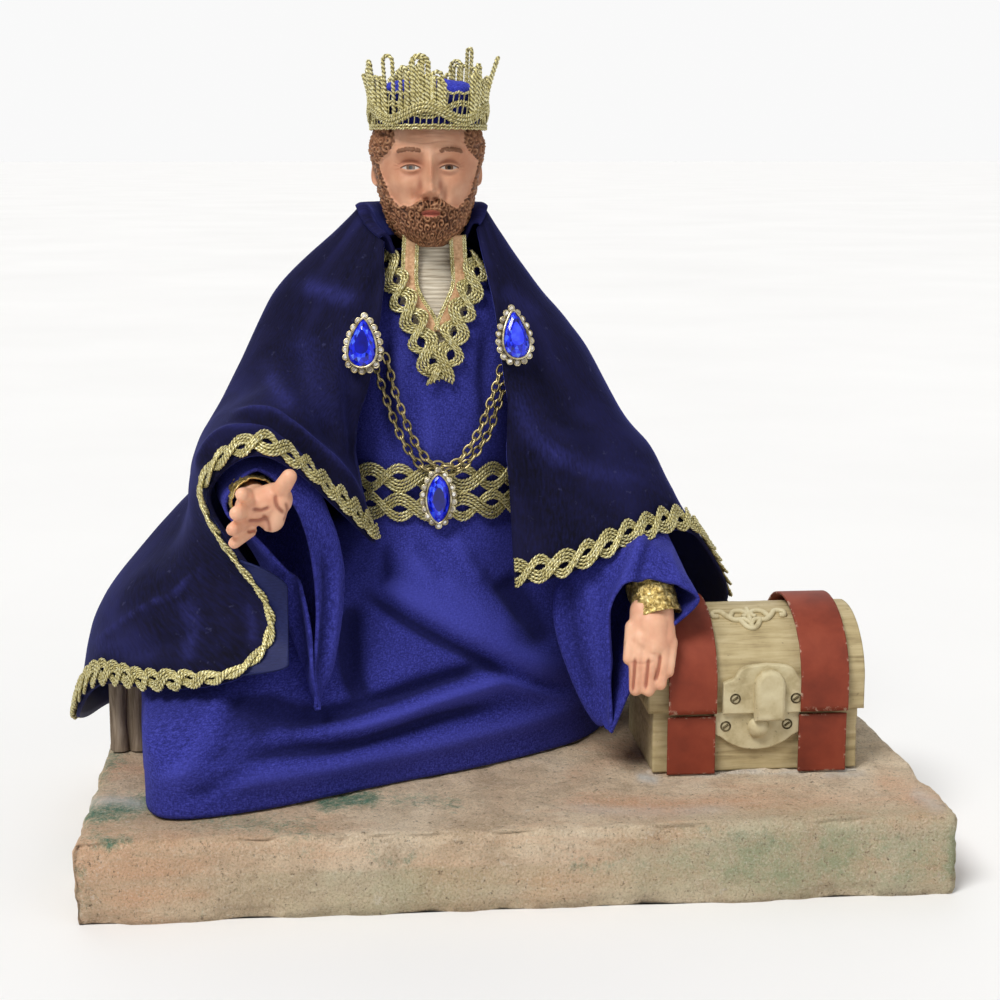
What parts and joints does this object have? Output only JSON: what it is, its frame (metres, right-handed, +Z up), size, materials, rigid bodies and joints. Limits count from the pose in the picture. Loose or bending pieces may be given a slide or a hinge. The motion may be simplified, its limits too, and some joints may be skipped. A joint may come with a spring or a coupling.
{
  "type": "seated king figurine with treasure chest",
  "caption": "Dressed king seated on a low bench on a plastered slab, crowned, in a velvet cape over a robe, one hand resting on a domed treasure chest.",
  "frame": {"origin": "centre of the slab's flat underside", "axes": "+Z up, +Y towards the figure's back, so the figure faces -Y; +X along the slab, to the viewer's right, where the chest stands"},
  "size_m": [0.2342, 0.1311, 0.2145],
  "materials": {
    "plaster": "rough painted plaster, dusted with green",
    "bench_wood": "dull brown, ribbed",
    "robe_cloth": "royal blue woven cloth",
    "velvet": "deep navy velvet",
    "gold_braid": "twisted gold lurex cord",
    "ivory_cloth": "fine ribbed knit",
    "flesh": "painted, satin",
    "blue_gem": "faceted, clear blue",
    "rhinestone": "small clear stones in pale gold",
    "chain_brass": "antiqued",
    "chest_resin": "painted to look like pale wood",
    "strap_red": "painted brick red, leather-like"
  },
  "bodies": {
    "root": {"base": "plaster", "seat": "bench_wood", "robe": "robe_cloth", "sleeve_right": "robe_cloth", "sleeve_left": "robe_cloth", "undershirt": "ivory_cloth", "cape": "velvet", "cape_trim": "gold_braid", "neck_trim": "gold_braid", "belt": "gold_braid", "crown": "gold_braid", "crown_cap": "robe_cloth", "head": "flesh", "hand_right": "flesh", "hand_left": "flesh", "cuff_right": "gold_braid", "cuff_left": "gold_braid", "brooch_right_setting": "rhinestone", "brooch_left_setting": "rhinestone", "belt_jewel_setting": "rhinestone", "brooch_right_gem": "blue_gem", "brooch_left_gem": "blue_gem", "belt_jewel_gem": "blue_gem", "chain_outer": "chain_brass", "chain_inner": "chain_brass", "chest_box": "chest_resin", "chest_lid": "chest_resin", "strap_lid_left": "strap_red", "strap_lid_right": "strap_red", "strap_box_left": "strap_red", "strap_box_right": "strap_red"}
  },
  "joints": []
}
